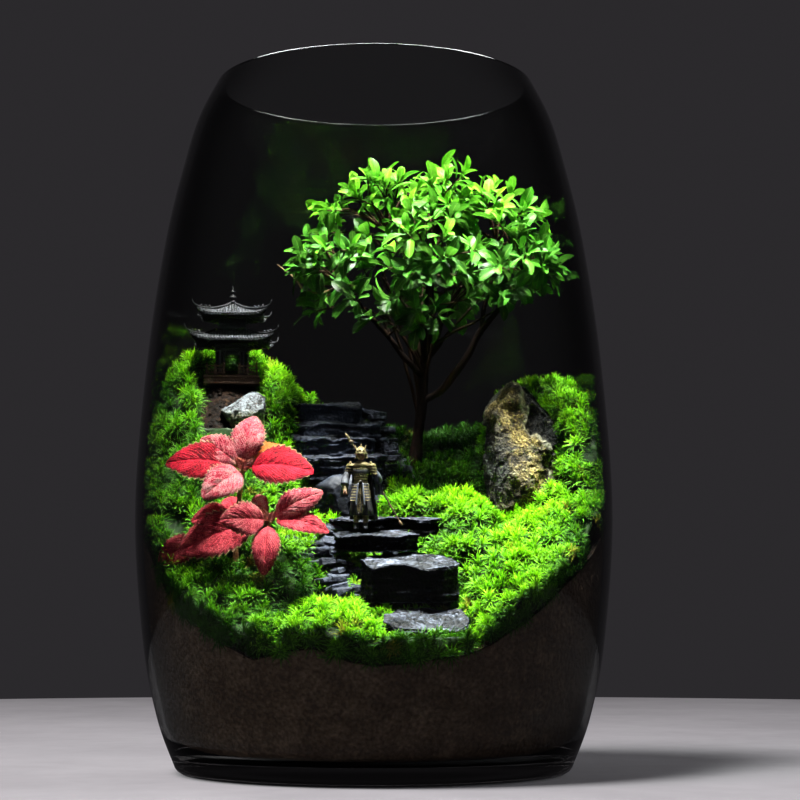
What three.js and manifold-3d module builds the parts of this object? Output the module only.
// A planted glass terrarium: an open barrel-shaped jar that holds a sloping soil bed, moss cushions,
// a slate stair, stones, a small tree, a red-leaved plant, a two-roofed pavilion and a standing figure.
// Millimetres, +Z up. The origin is the centre of the jar's foot, and the front of the scene faces -Y.
import * as THREE from "three";
import { mergeVertices } from "three/addons/utils/BufferGeometryUtils.js";
import Module from "manifold-3d";

const wasm = await Module();
wasm.setup();

// ---------------------------------------------------------------- driving dimensions

const GAP = 0.35; // clear space kept between pieces that touch

const JAR = {
  height: 300,
  wall: 3,
  floor: 8,
  footRadius: 80,
  segments: 36,
  wallSteps: 10,
  // outer radius and height, from the foot's corner to the lip
  outer: [
    [84.5, 3],
    [92.3, 24],
    [98.8, 57],
    [102.7, 112],
    [98.4, 176],
    [91, 229],
    [83, 264],
    [77.3, 283],
    [69.6, 298.6],
  ],
  // inner fillet between the wall and the floor
  fillet: [
    [85.5, 17],
    [82, 11.5],
    [74, 8.3],
  ],
};

// Spot heights of the soil as x, y, z. The bed is low at the front and climbs on three sides.
const SOIL_SPOTS = [
  [0, -95, 45],
  [32, -90, 47],
  [-18, -72, 60],
  [-52, -82, 46],
  [-70, -66, 58],
  [-54, -48, 79],
  [-88, -40, 80],
  [-36, -36, 84],
  [21, -72, 56],
  [52, -70, 62],
  [68, -50, 79],
  [61, -38, 91],
  [92, -30, 103],
  [8, -46, 84],
  [26, -8, 106],
  [64, -6, 104],
  [97, 5, 148],
  [84, 24, 161],
  [74, 50, 160],
  [18, 20, 121],
  [-14, -16, 106],
  [-20, 12, 133],
  [-18, 38, 156],
  [36, 52, 133],
  [8, 60, 138],
  [-44, -14, 112],
  [-42, 10, 136],
  [-34, 36, 153],
  [-64, 24, 180],
  [-74, 34, 176],
  [-54, 34, 176],
  [-64, 12, 172],
  [-74, -6, 132],
  [-92, -22, 112],
  [-88, 8, 151],
  [-80, 50, 155],
  [-40, 82, 150],
  [0, 95, 138],
  [50, 84, 144],
];
const SOIL = { reach: 13, cell: 11.5, halfWidth: 103.5 };

const MOSS = { thickness: 9.5, edge: 3, depth: 6, sides: 22, rings: [0.45, 0.8, 1] };

// Plan outlines of the moss cushions, going round anticlockwise.
const MOSS_OUTLINES = {
  moss_front_centre: [
    [-34, -102],
    [12, -108],
    [46, -100],
    [42, -86],
    [24, -90],
    [-4, -86],
    [-8, -66],
    [-26, -60],
    [-42, -72],
  ],
  moss_front_left: [
    [-44, -104],
    [-36, -88],
    [-42, -70],
    [-28, -58],
    [-18, -52],
    [-28, -30],
    [-46, -34],
    [-64, -50],
    [-92, -54],
    [-84, -80],
  ],
  moss_left_slope: [
    [-104, -52],
    [-66, -49],
    [-50, -46],
    [-48, -30],
    [-50, -12],
    [-74, -10],
    [-108, -16],
  ],
  moss_left_hill: [
    [-108, -14],
    [-74, -8],
    [-50, -10],
    [-46, 4],
    [-66, 8],
    [-80, 24],
    [-82, 44],
    [-112, 36],
  ],
  moss_stair_tuft: [
    [-47, -26],
    [-36, -22],
    [-38, -4],
    [-38, 16],
    [-50, 13],
    [-48, -6],
  ],
  moss_pavilion_shoulder: [
    [-48, 14],
    [-40, 20],
    [-38, 40],
    [-26, 56],
    [-40, 66],
    [-58, 50],
    [-49, 38],
  ],
  moss_back: [
    [-80, 47],
    [-64, 57],
    [-44, 71],
    [-25, 62],
    [-8, 54],
    [8, 42],
    [34, 43],
    [56, 52],
    [56, 106],
    [0, 114],
    [-64, 104],
    [-104, 56],
  ],
  moss_tree_foot: [
    [6, 36],
    [7, 8],
    [24, 2],
    [44, 10],
    [48, 30],
    [34, 40],
  ],
  moss_centre: [
    [2, -28],
    [20, -34],
    [32, -48],
    [48, -38],
    [52, -18],
    [46, 6],
    [24, 0],
    [6, 6],
    [4, -10],
  ],
  moss_right_front: [
    [48, -104],
    [84, -84],
    [100, -60],
    [74, -46],
    [50, -40],
    [36, -50],
    [38, -64],
    [44, -84],
  ],
  moss_right_slope: [
    [76, -45],
    [104, -60],
    [116, -18],
    [92, -14],
    [84, -18],
    [62, -22],
    [54, -20],
    [52, -38],
  ],
  moss_right_bank: [
    [86, -15],
    [118, -16],
    [112, 50],
    [60, 104],
    [56, 52],
    [54, 30],
    [70, 24],
    [84, 8],
  ],
};

// The stair stands in a frame of its own that leans towards the front.
const STAIR = { origin: [0, -75, 70], lean: 7, chamfer: 0.7 };
// Each slate: x, distance up the slope and top height in the stair's frame, width, depth, thickness, turn.
const SLATES = {
  slate_step_1: [21, 1, 0, 36, 20, 9, -6],
  slate_step_2: [14, 20.5, 18.8, 41, 25, 18.4, -3],
  slate_step_3: [1, 33.4, 27.2, 36, 15.6, 8, 4],
  slate_step_4: [6, 51.6, 33, 48, 15.4, 12, -2],
  slate_step_5: [-14, 80, 57.6, 39, 27, 9.6, 3],
  slate_step_6: [-18, 92, 65, 37, 26, 7.1, -5],
  slate_step_7: [-17, 105, 71.4, 41, 26, 6.1, 2],
  slate_step_8: [-21, 119, 78.8, 35, 26, 7.1, -3],
};

// Loose stones: centre, radii along x, y and z, turn about Z, and how strongly the surface breaks up.
const STONES = {
  feature_rock: { at: [64.5, 4, 138], radii: [17.5, 13, 29], turn: 8, rough: 0.2, detail: 3 },
  pale_rock: { at: [-56, 3, 155.5], radii: [10.5, 7, 10.5], turn: -14, rough: 0.18, detail: 2 },
  boulder: { at: [-11.5, -9.5, 115], radii: [17, 10.5, 12], turn: 6, rough: 0.08, detail: 2 },
  dark_chip: { at: [-33, -34.5, 94], radii: [7, 5.5, 6], turn: 35, rough: 0.16, detail: 1 },
  front_pebble: { at: [-6, -90.5, 58.5], radii: [3.4, 2.6, 2.2], turn: 10, rough: 0.1, detail: 1 },
};

// The tree's limbs as x, y, z, radius points. Each starts inside the limb that carries it.
const TREE_SIDES = 6;
const TREE_LIMBS = [
  [
    [17.5, 20, 108, 2.2],
    [17.7, 20, 126, 3.8],
    [19.5, 20, 145, 2.5],
    [21.4, 19, 163, 2.4],
    [23.5, 18, 186, 1.9],
    [25, 18, 210, 1.5],
    [27, 19, 236, 0.9],
  ],
  [
    [21.2, 19, 161, 1.7],
    [29, 17, 166, 1.7],
    [38, 14, 176, 1.6],
    [47, 11, 191, 1.4],
    [58, 9, 206, 1.1],
    [66, 8, 218, 0.9],
  ],
  [
    [22.3, 18.6, 172, 1.5],
    [14, 15, 180, 1.3],
    [5, 12, 191, 1.2],
    [-6, 10, 202, 1],
    [-14, 9, 213, 0.8],
  ],
  [
    [23.2, 18, 182, 1.5],
    [28, 26, 196, 1.3],
    [32, 35, 211, 1.1],
    [33, 41, 221, 0.8],
  ],
  [
    [22.8, 18.4, 177, 1.5],
    [22, 9, 190, 1.3],
    [23, -2, 204, 1.1],
    [25, -9, 216, 0.8],
  ],
  [
    [47, 11, 190.5, 1.2],
    [50, 17, 206, 1.1],
    [54, 22, 222, 0.9],
    [55, 23, 235, 0.8],
  ],
  [
    [6, 12.3, 190, 1.1],
    [4, 18, 206, 1],
    [5, 22, 224, 0.9],
    [6, 22, 238, 0.8],
  ],
];

// Foliage sprays: centre and radii. Earlier sprays keep their full form and later ones give way.
const SPRAYS = {
  foliage_left: [-16, 10, 216, 24, 27, 17],
  foliage_right: [66, 8, 219, 18.5, 25, 18],
  foliage_crown_left: [4, 21, 243, 27, 27, 21],
  foliage_crown_right: [54, 22, 241, 23, 26, 20],
  foliage_crown_top: [29, 18, 251, 20, 27, 19],
  foliage_front: [26, -13, 222, 25, 21, 21],
  foliage_back: [33, 46, 222, 28, 19, 19],
};
const SPRAY_FORM = { rough: 0.1, detail: 2 };

// The red-leaved plant: two stems, and the leaves as stem, tip, width and how much the face turns.
const RED_STEM = { radius: 1, bud: 1.9, sides: 7 };
const RED_STEMS = {
  red_plant_stem_1: [
    [-56, -44, 72],
    [-56.5, -44, 96],
    [-55, -46, 116],
    [-53.6, -47.5, 126],
  ],
  red_plant_stem_2: [
    [-47, -50, 68],
    [-46, -52, 84],
    [-44, -55, 97],
    [-42.4, -57, 104.5],
  ],
};
const RED_LEAVES = [
  [0, [-49.5, -41.5, 148.5], 15, 0.1],
  [0, [-71, -44, 139], 14, 0.1],
  [0, [-84.5, -46, 128.5], 16.5, -0.15],
  [0, [-68.5, -62.5, 113.5], 15, 0.2],
  [0, [-24.5, -54, 124.4], 16.5, 0.12],
  [0, [-38, -37.5, 131.5], 9.5, 0],
  [1, [-20.5, -62, 116], 12, -0.1],
  [1, [-18, -65, 99.5], 11, 0.2],
  [1, [-43.6, -67.5, 82.5], 11.5, 0],
  [1, [-48.5, -46, 115.5], 8.5, 0.3],
  [1, [-61, -69, 104.5], 13.5, 0.3],
  [1, [-78.5, -54, 92], 15.5, -0.5],
];
const RED_LEAF = {
  thickness: 0.6,
  edge: 0.25,
  stations: 7,
  stalk: 0.2,
  arch: 0.1,
  fold: 0.16,
  faces: [0, -0.78, 0.62],
};

const PAVILION = {
  at: [-64, 25.5, 168.6],
  turn: -13,
  plinth: [22, 21, 4],
  rail: { height: 4.4, bar: 0.9, post: 1.1, postTop: 0.8, inset: 1.4, pitch: 6.1, gate: 3.4 },
  storey: [15.4, 14.4, 14.4],
  column: 4,
  beam: 2.6,
  lowerRoof: { inner: 7.4, eave: 15, rise: 5, lift: 4 },
  upperStorey: [12.4, 11.4, 5],
  upperRoof: { inner: 0.8, eave: 12.4, rise: 6, lift: 3.6 },
  roofThickness: 1,
  roofSides: 5,
  roofRings: 4,
};

const FIGURE = { at: [-5.4, -45.6, 101.75], height: 34, turn: -6 };
// The spear runs slantwise behind the shoulders, as x, y, z, radius points in the figure's frame.
const SPEAR = [
  [-6.9, 4.4, 39.6, 0.25],
  [-5.7, 4.4, 37.8, 0.8],
  [-4.5, 4.4, 36, 0.45],
  [6, 4.4, 19.6, 0.45],
  [16.4, 4.4, 1.6, 0.45],
];

// ---------------------------------------------------------------- solids and meshes

const finish = (colour, roughness, metalness = 0) =>
  new THREE.MeshStandardMaterial({ color: colour, roughness, metalness });

const FINISHES = {
  glass: finish(0xc9d6d2, 0.05),
  soil: finish(0x241d18, 0.95),
  moss: finish(0x5fa81e, 0.85),
  slate: finish(0x23262b, 0.55),
  rock: finish(0x8c8357, 0.8),
  paleRock: finish(0xb9bcb0, 0.75),
  bark: finish(0x4a3226, 0.85),
  leaf: finish(0x58a832, 0.5),
  redLeaf: finish(0xc23a48, 0.55),
  stem: finish(0x8a6a4a, 0.7),
  castMetal: finish(0x2c2b2c, 0.5, 0.3),
  bronze: finish(0x7d6a35, 0.4, 0.7),
};

const root = new THREE.Group();

// A three.js mesh as a manifold solid in the part's frame.
function solidOf(mesh) {
  mesh.updateWorldMatrix(true, false);
  return solidFrom(mesh.geometry.clone().applyMatrix4(mesh.matrixWorld));
}

function solidFrom(geometry) {
  const bare = geometry.clone();
  bare.deleteAttribute("normal");
  bare.deleteAttribute("uv");
  const merged = mergeVertices(bare, 1e-3);
  return new wasm.Manifold(
    new wasm.Mesh({
      numProp: 3,
      vertProperties: new Float32Array(merged.attributes.position.array),
      triVerts: new Uint32Array(merged.index.array),
    }),
  );
}

function geometryFrom(solid) {
  const { numProp, numVert, vertProperties, triVerts } = solid.getMesh();
  const positions = new Float32Array(numVert * 3);
  for (let i = 0; i < numVert; i++) {
    positions.set(vertProperties.subarray(i * numProp, i * numProp + 3), i * 3);
  }
  return new THREE.BufferGeometry()
    .setAttribute("position", new THREE.BufferAttribute(positions, 3))
    .setIndex(new THREE.BufferAttribute(new Uint32Array(triVerts), 1));
}

// The largest body of a solid, so that a cut leaves no crumbs.
function mainBody(solid) {
  const settled = solidFrom(geometryFrom(solid.simplify(0.02)));
  return settled.decompose().sort((a, b) => b.volume() - a.volume())[0];
}

// A solid grown by GAP on each side, about the middle of its box.
function grown(solid) {
  const { min, max } = solid.boundingBox();
  const middle = min.map((low, i) => (low + max[i]) / 2);
  const scale = min.map((low, i) => 1 + (2 * GAP) / (max[i] - low));
  return solid
    .translate(middle.map((m) => -m))
    .scale(scale)
    .translate(middle);
}

// A union worked out at once, which keeps the chain of operations short.
function united(solids) {
  return solidFrom(geometryFrom(wasm.Manifold.union(solids)));
}

function without(solid, cutters) {
  return cutters.length ? solid.subtract(wasm.Manifold.union(cutters)) : solid;
}

function add(name, geometry, material, parent = root) {
  const mesh = new THREE.Mesh(geometry, material);
  mesh.name = name;
  parent.add(mesh);
  return mesh;
}

// A geometry from rings of points, each joined to the next. The two end rings are closed by a fan, either
// about a given point or across the ring itself.
function lofted(rings, ends = null) {
  const sides = rings[0].length;
  const points = rings.flat();
  const faces = [];
  for (let ring = 0; ring < rings.length - 1; ring++) {
    for (let i = 0; i < sides; i++) {
      const a = ring * sides + i;
      const b = ring * sides + ((i + 1) % sides);
      faces.push(a, b, b + sides, a, b + sides, a + sides);
    }
  }
  const last = (rings.length - 1) * sides;
  const near = ends ? points.push(ends[0]) - 1 : 0;
  const far = ends ? points.push(ends[1]) - 1 : last;
  for (let i = ends ? 0 : 1; i < (ends ? sides : sides - 1); i++) {
    const next = (i + 1) % sides;
    faces.push(near, next, i);
    faces.push(far, last + i, last + next);
  }
  return new THREE.BufferGeometry().setFromPoints(points).setIndex(faces);
}

// A smooth pseudo-random value from -1 to 1 at a direction, the same each time.
function ripple(v, seed) {
  return (
    0.5 * Math.sin(2.1 * v.x + 1.7 * v.y + seed) * Math.cos(1.9 * v.z - seed * 1.3) +
    0.3 * Math.sin(4.3 * v.y - 3.1 * v.z + seed * 2.1) +
    0.2 * Math.sin(7.1 * v.z + 5.3 * v.x - seed)
  );
}

// ---------------------------------------------------------------- the jar

// The jar's wall as radius and height, from the foot to the lip, moved in along its normal by the offset.
function jarWall(offset) {
  const curve = new THREE.SplineCurve(JAR.outer.map(([r, z]) => new THREE.Vector2(r, z)));
  return Array.from({ length: JAR.wallSteps + 1 }, (_, i) => {
    const point = curve.getPoint(i / JAR.wallSteps);
    const along = curve.getTangent(i / JAR.wallSteps);
    return new THREE.Vector2(point.x - along.y * offset, point.y + along.x * offset);
  });
}

// The inner face of the wall, which starts above the fillet to the floor.
function innerWall(offset) {
  return jarWall(offset).filter((p) => p.y > JAR.fillet[0][1]);
}

function lathe(profile) {
  return new THREE.LatheGeometry(profile, JAR.segments).rotateX(Math.PI / 2);
}

// A fillet from wall to floor, then the floor to the axis, shrunk by the clearance.
function floorProfile(clearance) {
  const fillet = JAR.fillet.map(([r, z]) => new THREE.Vector2(r - clearance, z + clearance));
  return [...fillet, new THREE.Vector2(0, JAR.floor + clearance)];
}

function jarGeometry() {
  const outside = jarWall(0);
  const lip = new THREE.Vector2(JAR.outer.at(-1)[0] - JAR.wall / 2, JAR.height);
  const profile = [
    new THREE.Vector2(0, 0),
    new THREE.Vector2(JAR.footRadius, 0),
    ...outside,
    lip,
    ...innerWall(JAR.wall).reverse(),
    ...floorProfile(0),
  ];
  return lathe(profile);
}

// The space inside the jar up to the lip, less the clearance: everything planted stays within it.
function cavitySolid() {
  const wall = innerWall(JAR.wall + GAP);
  const profile = [...floorProfile(GAP).reverse(), ...wall, new THREE.Vector2(0, wall.at(-1).y)];
  return solidFrom(lathe(profile));
}

// ---------------------------------------------------------------- soil and moss

function soilHeight(x, y) {
  let weights = 0;
  let sum = 0;
  for (const [sx, sy, sz] of SOIL_SPOTS) {
    const distance = ((x - sx) ** 2 + (y - sy) ** 2) / (2 * SOIL.reach ** 2);
    const weight = Math.exp(-distance) + 1e-6 / (1 + distance);
    weights += weight;
    sum += weight * sz;
  }
  return sum / weights;
}

// A block from below the jar's floor up to the soil's surface.
function soilBlock() {
  const cells = Math.round((2 * SOIL.halfWidth) / SOIL.cell);
  const at = (i) => -SOIL.halfWidth + (2 * SOIL.halfWidth * i) / cells;
  const points = [];
  const faces = [];
  const side = cells + 1;
  for (const top of [true, false]) {
    for (let j = 0; j <= cells; j++) {
      for (let i = 0; i <= cells; i++) {
        points.push(new THREE.Vector3(at(i), at(j), top ? soilHeight(at(i), at(j)) : 0));
      }
    }
  }
  const under = side * side;
  for (let j = 0; j < cells; j++) {
    for (let i = 0; i < cells; i++) {
      const a = j * side + i;
      faces.push(a, a + 1, a + side + 1, a, a + side + 1, a + side);
      faces.push(under + a, under + a + side + 1, under + a + 1);
      faces.push(under + a, under + a + side, under + a + side + 1);
    }
  }
  const wall = (a, b) => faces.push(a, under + a, under + b, a, under + b, b);
  for (let i = 0; i < cells; i++) {
    wall(i, i + 1);
    wall(cells * side + i + 1, cells * side + i);
    wall((i + 1) * side, i * side);
    wall(i * side + cells, (i + 1) * side + cells);
  }
  return solidFrom(new THREE.BufferGeometry().setFromPoints(points).setIndex(faces));
}

// A pillow of moss over a plan outline, grown by the margin. It reaches a little into the soil, which is
// cut away later.
function mossPillow(outline, margin = 0) {
  const curve = new THREE.CatmullRomCurve3(
    outline.map(([x, y]) => new THREE.Vector3(x, y, 0)),
    true,
  );
  const loop = Array.from({ length: MOSS.sides }, (_, i) => {
    const along = curve.getTangent(i / MOSS.sides);
    const outward = new THREE.Vector3(along.y, -along.x, 0);
    return curve.getPoint(i / MOSS.sides).addScaledVector(outward, margin);
  });
  const middle = loop
    .reduce((sum, p) => sum.add(p), new THREE.Vector3())
    .divideScalar(loop.length);
  const at = (p, height) => new THREE.Vector3(p.x, p.y, soilHeight(p.x, p.y) + height);
  const ring = (share, height) => loop.map((p) => at(middle.clone().lerp(p, share), height));
  const swell = (share) =>
    MOSS.edge + (MOSS.thickness - MOSS.edge) * Math.sqrt(Math.max(0, 1 - share ** 4)) + margin;
  const depth = MOSS.depth + margin;
  const lower = MOSS.rings.map((share) => ring(share, -depth));
  const upper = MOSS.rings.map((share) => ring(share, swell(share))).reverse();
  const ends = [at(middle, -depth), at(middle, swell(0))];
  return solidFrom(lofted([...lower, ...upper], ends));
}

// ---------------------------------------------------------------- stones

// A slab split along its bedding: an uneven outline, with its upper and lower edges broken back.
function slateGeometry(width, depth, thickness, seed) {
  const corners = 10;
  const outline = (inset) =>
    Array.from({ length: corners }, (_, i) => {
      const angle = (2 * Math.PI * (i + 0.5)) / corners;
      const square = 1 / Math.max(Math.abs(Math.cos(angle)), Math.abs(Math.sin(angle)));
      const uneven = 1 + 0.05 * Math.sin(seed * 3.7 + i * 2.3);
      const reach = Math.min(square, 1.22) * uneven;
      return [
        Math.cos(angle) * reach * (width / 2 - inset),
        Math.sin(angle) * reach * (depth / 2 - inset),
      ];
    });
  const layer = (inset, z) => outline(inset).map(([x, y]) => new THREE.Vector3(x, y, z));
  const edge = STAIR.chamfer;
  return lofted([
    layer(edge, -thickness),
    layer(0, -thickness + edge),
    layer(edge / 2, -thickness / 2),
    layer(0, -edge),
    layer(edge, 0),
  ]);
}

function stoneGeometry({ radii, rough, detail }, seed) {
  const sphere = new THREE.IcosahedronGeometry(1, detail);
  const geometry = mergeVertices(sphere.deleteAttribute("normal").deleteAttribute("uv"));
  const position = geometry.getAttribute("position");
  const v = new THREE.Vector3();
  for (let i = 0; i < position.count; i++) {
    v.fromBufferAttribute(position, i);
    const swell = 1 + rough * ripple(v, seed);
    position.setXYZ(i, v.x * radii[0] * swell, v.y * radii[1] * swell, v.z * radii[2] * swell);
  }
  return geometry;
}

// ---------------------------------------------------------------- plants

// A tapered limb along points that carry a radius, grown by the margin.
function limbSolid(points, sides, margin = 0) {
  const curve = new THREE.CatmullRomCurve3(points.map(([x, y, z]) => new THREE.Vector3(x, y, z)));
  const steps = 2 * (points.length - 1);
  const radiusAt = (t) => {
    const place = t * (points.length - 1);
    const i = Math.min(points.length - 2, Math.floor(place));
    return THREE.MathUtils.lerp(points[i][3], points[i + 1][3], place - i) + margin;
  };
  const rings = [];
  for (let s = 0; s <= steps; s++) {
    const t = s / steps;
    const centre = curve.getPoint(t);
    const along = curve.getTangent(t);
    const end = s === 0 ? -margin : s === steps ? margin : 0;
    centre.addScaledVector(along, end);
    const across = new THREE.Vector3(1, 0.3, 0).cross(along).normalize();
    const third = along.clone().cross(across);
    rings.push(
      Array.from({ length: sides }, (_, i) => {
        const angle = (2 * Math.PI * i) / sides;
        return centre
          .clone()
          .addScaledVector(across, radiusAt(t) * Math.cos(angle))
          .addScaledVector(third, radiusAt(t) * Math.sin(angle));
      }),
    );
  }
  return solidFrom(lofted(rings));
}

function treeSolid(margin = 0) {
  const limbs = TREE_LIMBS.map((points) => limbSolid(points, TREE_SIDES, margin));
  return limbs.reduce((all, limb) => all.add(limb));
}

function spraySolid([x, y, z, rx, ry, rz], seed) {
  const mesh = new THREE.Mesh(stoneGeometry({ radii: [rx, ry, rz], ...SPRAY_FORM }, seed));
  mesh.position.set(x, y, z);
  return solidOf(mesh);
}

// A leaf blade from base to tip, folded along its midrib and arched along its length. Its upper face looks
// up and to the front, and is then turned about the midrib. The margin grows it on every side.
function leafSolid(base, tip, width, turn, margin = 0) {
  const from = new THREE.Vector3(...base);
  const along = new THREE.Vector3(...tip).sub(from);
  const length = along.length();
  along.normalize();
  const face = new THREE.Vector3(...RED_LEAF.faces);
  face.addScaledVector(along, -face.dot(along)).normalize().applyAxisAngle(along, turn);
  const across = face.clone().cross(along);
  const rings = [];
  for (let s = 0; s <= RED_LEAF.stations; s++) {
    const t = s / RED_LEAF.stations;
    const blade = Math.max(0, (t - RED_LEAF.stalk) / (1 - RED_LEAF.stalk));
    const half = (width / 2) * Math.max(0.05, Math.sin(Math.PI * blade ** 0.85 * 0.97) ** 0.8);
    const centre = from
      .clone()
      .addScaledVector(along, length * t)
      .addScaledVector(face, length * RED_LEAF.arch * Math.sin(Math.PI * t));
    const at = (u, v) => centre.clone().addScaledVector(across, u).addScaledVector(face, v);
    const lift = half * RED_LEAF.fold;
    const reach = half + margin;
    const edge = RED_LEAF.edge / 2 + margin;
    rings.push([
      at(-reach, lift - edge),
      at(0, -RED_LEAF.thickness - margin),
      at(reach, lift - edge),
      at(reach, lift + edge),
      at(0, margin),
      at(-reach, lift + edge),
    ]);
  }
  return solidFrom(lofted(rings));
}

function stemSolid(points, margin = 0) {
  const last = points.length - 1;
  const limb = points.map((p, i) => [...p, i === last ? RED_STEM.bud : RED_STEM.radius]);
  return limbSolid(limb, RED_STEM.sides, margin);
}

// ---------------------------------------------------------------- the pavilion

// A four-sided roof that sweeps down from its ridge to upturned corners.
function roofGeometry({ inner, eave, rise, lift }) {
  const perSide = PAVILION.roofSides;
  const directions = [];
  for (let side = 0; side < 4; side++) {
    for (let i = 0; i < perSide; i++) {
      const across = -1 + (2 * i) / perSide;
      directions.push(new THREE.Vector2(1, across).rotateAround(new THREE.Vector2(), (side * Math.PI) / 2));
    }
  }
  const surface = (share, raise) =>
    directions.map((d) => {
      const corner = Math.min(Math.abs(d.x), Math.abs(d.y)) ** 4;
      const reach = THREE.MathUtils.lerp(inner, eave, share) * (1 + 0.13 * corner * share);
      const height = rise * (1 - share) ** 1.5 + lift * corner * share ** 2;
      return new THREE.Vector3(d.x * reach, d.y * reach, height + raise);
    });
  const shares = Array.from({ length: PAVILION.roofRings + 1 }, (_, i) => i / PAVILION.roofRings);
  const top = shares.map((share) => surface(share, PAVILION.roofThickness)).reverse();
  return lofted([surface(0, -rise), surface(1, 0), ...top]);
}

function box(sizeX, sizeY, sizeZ, x, y, z) {
  return new THREE.BoxGeometry(sizeX, sizeY, sizeZ).translate(x, y, z + sizeZ / 2);
}

function joined(geometries) {
  return geometryFrom(geometries.map(solidFrom).reduce((all, next) => all.add(next)));
}

// Posts with a sill and a handrail round the plinth, open at the front.
function railingGeometry() {
  const { height, bar, post, postTop, inset, pitch, gate } = PAVILION.rail;
  const halfX = PAVILION.plinth[0] / 2 - inset;
  const halfY = PAVILION.plinth[1] / 2 - inset;
  const pieces = [];
  for (const z of [0, height - bar]) {
    pieces.push(box(2 * halfX + bar, bar, bar, 0, halfY, z));
    for (const side of [-1, 1]) {
      pieces.push(box(bar, 2 * halfY + bar, bar, side * halfX, 0, z));
      pieces.push(box(halfX - gate + bar, bar, bar, (side * (halfX + gate)) / 2, -halfY, z));
    }
  }
  const frontPosts = [gate, (gate + halfX) / 2, halfX].map((x) => [x, -halfY]);
  const sidePosts = [-pitch, 0, pitch, halfY].map((y) => [halfX, y]);
  for (const [x, y] of [...frontPosts, ...sidePosts]) {
    for (const side of [-1, 1]) {
      pieces.push(box(post, post, height + postTop, side * x, y, 0));
    }
  }
  return joined(pieces);
}

// Four thick columns under a ring beam, open on all four sides.
function storeyGeometry() {
  const [wide, deep, tall] = PAVILION.storey;
  const { column, beam } = PAVILION;
  const pieces = [];
  for (const sx of [-1, 1]) {
    for (const sy of [-1, 1]) {
      const x = (sx * (wide - column)) / 2;
      const y = (sy * (deep - column)) / 2;
      pieces.push(box(column, column, tall, x, y, 0));
    }
    pieces.push(box(column, deep - column, beam, (sx * (wide - column)) / 2, 0, tall - beam));
    pieces.push(box(wide - column, column, beam, 0, (sx * (deep - column)) / 2, tall - beam));
  }
  return joined(pieces);
}

function finialGeometry() {
  const profile = [
    [0, 0],
    [1.5, 0],
    [1.1, 0.8],
    [0.7, 1.2],
    [1.5, 2.4],
    [0.9, 3.4],
    [0.5, 4],
    [1, 4.8],
    [0.4, 5.6],
    [0, 7.4],
  ].map(([r, z]) => new THREE.Vector2(r, z));
  return new THREE.LatheGeometry(profile, 10).rotateX(Math.PI / 2);
}

function addPavilion() {
  const group = new THREE.Group();
  group.position.set(...PAVILION.at);
  group.rotation.z = THREE.MathUtils.degToRad(PAVILION.turn);
  root.add(group);
  const metal = FINISHES.castMetal;
  const place = (name, geometry, z) => {
    add(name, geometry, metal, group).position.z = z;
  };
  const { plinth, storey, lowerRoof, upperStorey, upperRoof, roofThickness } = PAVILION;
  let z = 0;
  place("pavilion_plinth", box(...plinth, 0, 0, 0), z);
  z += plinth[2] + GAP;
  place("pavilion_railing", railingGeometry(), z);
  place("pavilion_lower_storey", storeyGeometry(), z);
  z += storey[2] + GAP;
  place("pavilion_lower_roof", roofGeometry(lowerRoof), z);
  z += lowerRoof.rise + roofThickness + GAP;
  place("pavilion_upper_storey", box(...upperStorey, 0, 0, 0), z);
  z += upperStorey[2] + GAP;
  place("pavilion_upper_roof", roofGeometry(upperRoof), z);
  z += upperRoof.rise + roofThickness + GAP;
  place("pavilion_finial", finialGeometry(), z);
  return group;
}

// ---------------------------------------------------------------- the figure

// A standing guard in a long armoured coat, made in its own frame with its feet at the origin.
function figureSolid() {
  const h = FIGURE.height;
  const turned = (profile, sides = 10) =>
    new THREE.LatheGeometry(
      profile.map(([r, z]) => new THREE.Vector2(r * h, z * h)),
      sides,
    ).rotateX(Math.PI / 2);
  const coat = turned([
    [0, 0.13],
    [0.145, 0.13],
    [0.125, 0.3],
    [0.085, 0.52],
    [0.115, 0.66],
    [0.135, 0.77],
    [0.055, 0.83],
    [0, 0.83],
  ]).scale(1.1, 0.8, 1);
  const head = new THREE.SphereGeometry(0.06 * h, 10, 8).translate(0, 0, 0.875 * h);
  const helmet = turned([
    [0, 0.885],
    [0.078, 0.885],
    [0.068, 0.93],
    [0.028, 0.965],
    [0, 1],
  ]);
  const legs = [-1, 1].map((side) => box(0.095 * h, 0.17 * h, 0.2 * h, side * 0.068 * h, -0.012 * h, 0));
  const arm = (points) => limbSolid(points.map((p) => p.map((value) => value * h)), 7);
  const arms = [
    arm([
      [-0.11, 0, 0.76, 0.07],
      [-0.2, -0.02, 0.6, 0.05],
      [-0.21, -0.09, 0.44, 0.032],
    ]),
    arm([
      [0.11, 0, 0.76, 0.07],
      [0.2, 0.04, 0.62, 0.05],
      [0.205, 0.115, 0.53, 0.034],
    ]),
  ].map(geometryFrom);
  const whole = [coat, head, helmet, ...legs, ...arms].map(solidFrom);
  return mainBody(united(whole).subtract(limbSolid(SPEAR, 6, GAP)));
}

// ---------------------------------------------------------------- assembly

add("glass_jar", jarGeometry(), FINISHES.glass);
const cavity = cavitySolid();

const stair = new THREE.Group();
stair.position.set(...STAIR.origin);
stair.rotation.x = THREE.MathUtils.degToRad(STAIR.lean);
root.add(stair);
const slates = Object.entries(SLATES).map(([name, [x, run, top, width, depth, thickness, turn]], i) => {
  const mesh = add(name, slateGeometry(width, depth, thickness, i + 1), FINISHES.slate, stair);
  mesh.position.set(x, run, top);
  mesh.rotation.z = THREE.MathUtils.degToRad(turn);
  return mesh;
});

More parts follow.
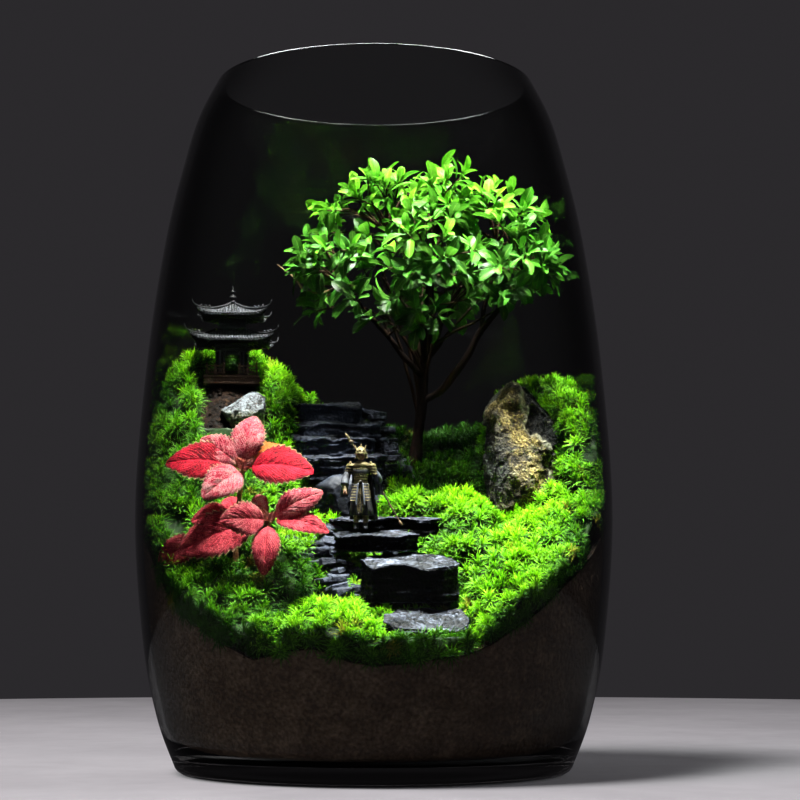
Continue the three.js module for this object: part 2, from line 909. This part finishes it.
const stoneFinish = {
  feature_rock: FINISHES.rock,
  pale_rock: FINISHES.paleRock,
};
const slateSpaces = slates.map((mesh) => grown(solidOf(mesh)));
const stones = Object.entries(STONES).map(([name, stone], i) => {
  const placed = new THREE.Mesh(stoneGeometry(stone, i + 1));
  placed.position.set(...stone.at);
  placed.rotation.z = THREE.MathUtils.degToRad(stone.turn);
  const cut = mainBody(without(solidOf(placed), slateSpaces));
  return add(name, geometryFrom(cut), stoneFinish[name] ?? FINISHES.slate);
});

const pavilion = addPavilion();
const plinth = pavilion.children.find((mesh) => mesh.name === "pavilion_plinth");

const figure = new THREE.Group();
figure.position.set(...FIGURE.at);
figure.rotation.z = THREE.MathUtils.degToRad(FIGURE.turn);
root.add(figure);
add("figurine", geometryFrom(figureSolid()), FINISHES.bronze, figure);
add("figurine_spear", geometryFrom(limbSolid(SPEAR, 6)), FINISHES.bronze, figure);

// What stands in the ground: its grown form is cut from the soil and the moss.
const trunkSpace = treeSolid(GAP);
const stemSpaces = Object.values(RED_STEMS).map((points) => stemSolid(points, GAP));
const planted = [
  ...slateSpaces,
  ...[...stones, plinth].map((mesh) => grown(solidOf(mesh))),
  trunkSpace,
  ...stemSpaces,
];

const ground = soilBlock();
const soil = mainBody(without(ground.intersect(cavity), planted));
add("soil_bed", geometryFrom(soil), FINISHES.soil);

const underMoss = ground.translate([0, 0, GAP]);
const laid = [];
for (const [name, outline] of Object.entries(MOSS_OUTLINES)) {
  const cutters = [underMoss, ...laid, ...planted];
  const pad = mainBody(without(mossPillow(outline).intersect(cavity), cutters));
  laid.push(mossPillow(outline, GAP));
  add(name, geometryFrom(pad), FINISHES.moss);
}

add("tree", geometryFrom(treeSolid()), FINISHES.bark);
const sprays = [trunkSpace];
Object.entries(SPRAYS).forEach(([name, place], i) => {
  const whole = spraySolid(place, i + 1);
  const spray = mainBody(without(whole, sprays).intersect(cavity));
  sprays.push(grown(whole));
  add(name, geometryFrom(spray), FINISHES.leaf);
});

for (const [name, points] of Object.entries(RED_STEMS)) {
  add(name, geometryFrom(stemSolid(points)), FINISHES.stem);
}
const leafSpaces = [...stemSpaces];
RED_LEAVES.forEach(([stem, ...shape], i) => {
  const name = `red_plant_leaf_${String(i + 1).padStart(2, "0")}`;
  const bud = Object.values(RED_STEMS)[stem].at(-1);
  add(name, geometryFrom(mainBody(without(leafSolid(bud, ...shape), leafSpaces))), FINISHES.redLeaf);
  leafSpaces.push(leafSolid(bud, ...shape, GAP));
});

export default root;
